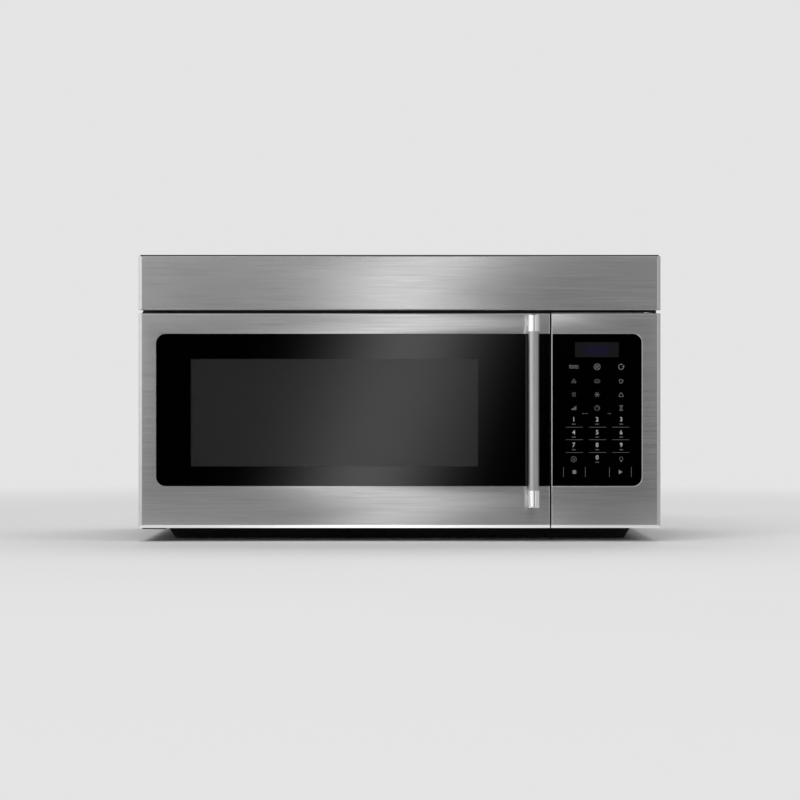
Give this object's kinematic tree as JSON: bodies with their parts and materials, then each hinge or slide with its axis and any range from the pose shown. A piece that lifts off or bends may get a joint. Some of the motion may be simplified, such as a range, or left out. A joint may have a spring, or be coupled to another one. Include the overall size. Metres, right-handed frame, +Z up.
{
  "type": "over the range microwave",
  "caption": "Over the range convection microwave: side-hung door with bar handle, touch panel, turntable, grease filters and hood blower.",
  "frame": {"origin": "bottom centre of the rear face, which hangs on the wall", "axes": "+X to the right seen from the front, -Y forwards out of the wall, +Z up"},
  "size_m": [0.759, 0.44, 0.4175],
  "materials": {
    "stainless": "fine horizontal brushing",
    "black_glass": "black printed glass, polished",
    "clear_glass": "clear tempered glass",
    "satin_steel": "satin, brushed along its length",
    "chrome": "polished",
    "black_plastic": "fine moulded grain",
    "black_paint": "black enamel paint",
    "galvanised": "galvanised sheet",
    "cavity_steel": "satin cavity steel",
    "screen_steel": "perforated, dark coating",
    "filter_aluminium": "plain rolled",
    "charcoal": "granular charcoal in a frame",
    "mica": "mica sheet",
    "white_plastic": "moulded, heat resistant",
    "grey_plastic": "moulded",
    "motor_steel": "zinc plated",
    "circuit_board": "solder mask"
  },
  "bodies": {
    "cabinet": {"base_plate": "black_paint", "blower_housing": "galvanised", "blower_motor": "motor_steel", "cavity_floor": "cavity_steel", "cavity_lamp": "galvanised", "cavity_shell": "cavity_steel", "charcoal_filter": "charcoal", "chassis_floor": "galvanised", "control_bezel": "stainless", "control_board": "circuit_board", "control_carrier": "black_plastic", "convection_cover": "cavity_steel", "convection_heater": "motor_steel", "convection_housing": "galvanised", "convection_motor": "motor_steel", "cooktop_lamp": "galvanised", "cooktop_lamp_lens": "clear_glass", "cooling_fan_motor": "galvanised", "cord_bushing": "black_plastic", "front_plate": "black_paint", "hood_pan": "black_paint", "hv_capacitor": "motor_steel", "hv_transformer": "motor_steel", "latch_board": "black_plastic", "lower_hinge": "black_paint", "magnetron": "filter_aluminium", "noise_filter_board": "circuit_board", "outer_case": "black_paint", "panel_bracket": "black_paint", "rear_panel": "galvanised", "touch_glass": "black_glass", "turntable_motor": "galvanised", "upper_hinge": "black_paint", "vent_fascia": "stainless", "vent_grille": "black_plastic", "waveguide": "galvanised", "waveguide_cover": "mica"},
    "door": {"door_skin": "stainless", "door_glass": "black_glass", "door_frame": "black_plastic", "door_choke": "cavity_steel", "door_screen": "screen_steel", "door_inner_glass": "clear_glass", "choke_cover": "black_plastic", "latch_spring": "motor_steel", "handle_bar": "satin_steel", "handle_posts": "chrome", "handle_screws": "chrome"},
    "latch": {"door_latch": "white_plastic"},
    "turntable": {"drive_coupler": "white_plastic", "turntable_tray": "clear_glass"},
    "ring": {"roller_ring": "white_plastic"},
    "roller_a": {"roller_1": "white_plastic"},
    "roller_b": {"roller_2": "white_plastic"},
    "roller_c": {"roller_3": "white_plastic"},
    "blower": {"blower_rotor": "grey_plastic"},
    "oven_fan": {"convection_fan": "filter_aluminium"},
    "bay_fan": {"cooling_fan": "grey_plastic"},
    "filter_left": {"grease_filter_left": "filter_aluminium"},
    "filter_right": {"grease_filter_right": "filter_aluminium"}
  },
  "joints": [
    {"name": "door_swing", "type": "hinge", "parent": "cabinet", "child": "door", "pos_m": [-0.3687, -0.368, 0.17585], "axis": [0, 0, -1], "range_deg": [0, 105]},
    {"name": "latch_slide", "type": "slide", "parent": "door", "child": "latch", "axis": [0, 0, 1], "range_m": [0, 0.005], "stiffness_N_per_m": 300, "springref_m": -0.004, "deforming": ["latch_spring"]},
    {"name": "turntable_spin", "type": "hinge", "parent": "cabinet", "child": "turntable", "pos_m": [-0.085, -0.19, 0.07], "axis": [0, 0, 1], "continuous": true},
    {"name": "ring_spin", "type": "hinge", "parent": "cabinet", "child": "ring", "pos_m": [-0.085, -0.19, 0.0748], "axis": [0, 0, 1], "continuous": true},
    {"name": "roller_1_spin", "type": "hinge", "parent": "ring", "child": "roller_a", "pos_m": [0.017, -0.19, 0.0748], "axis": [1, 0, 0], "continuous": true},
    {"name": "roller_2_spin", "type": "hinge", "parent": "ring", "child": "roller_b", "pos_m": [-0.136, -0.10167, 0.0748], "axis": [-0.5, 0.866, 0], "continuous": true},
    {"name": "roller_3_spin", "type": "hinge", "parent": "ring", "child": "roller_c", "pos_m": [-0.136, -0.27833, 0.0748], "axis": [-0.5, -0.866, 0], "continuous": true},
    {"name": "blower_spin", "type": "hinge", "parent": "cabinet", "child": "blower", "pos_m": [0, -0.075, 0.3585], "axis": [1, 0, 0], "continuous": true},
    {"name": "oven_fan_spin", "type": "hinge", "parent": "cabinet", "child": "oven_fan", "pos_m": [-0.085, -0.228, 0.33], "axis": [0, 0, 1], "continuous": true},
    {"name": "bay_fan_spin", "type": "hinge", "parent": "cabinet", "child": "bay_fan", "pos_m": [0.262, -0.03, 0.235], "axis": [0, 1, 0], "continuous": true},
    {"name": "filter_left_slide", "type": "slide", "parent": "cabinet", "child": "filter_left", "axis": [0, 1, 0], "range_m": [0, 0.008]},
    {"name": "filter_right_slide", "type": "slide", "parent": "cabinet", "child": "filter_right", "axis": [0, 1, 0], "range_m": [0, 0.008]}
  ],
  "couplings": [
    {"joint": "ring_spin", "follows": "turntable_spin", "ratio": 0.5},
    {"joint": "roller_1_spin", "follows": "turntable_spin", "ratio": -6},
    {"joint": "roller_2_spin", "follows": "turntable_spin", "ratio": -6},
    {"joint": "roller_3_spin", "follows": "turntable_spin", "ratio": -6}
  ]
}
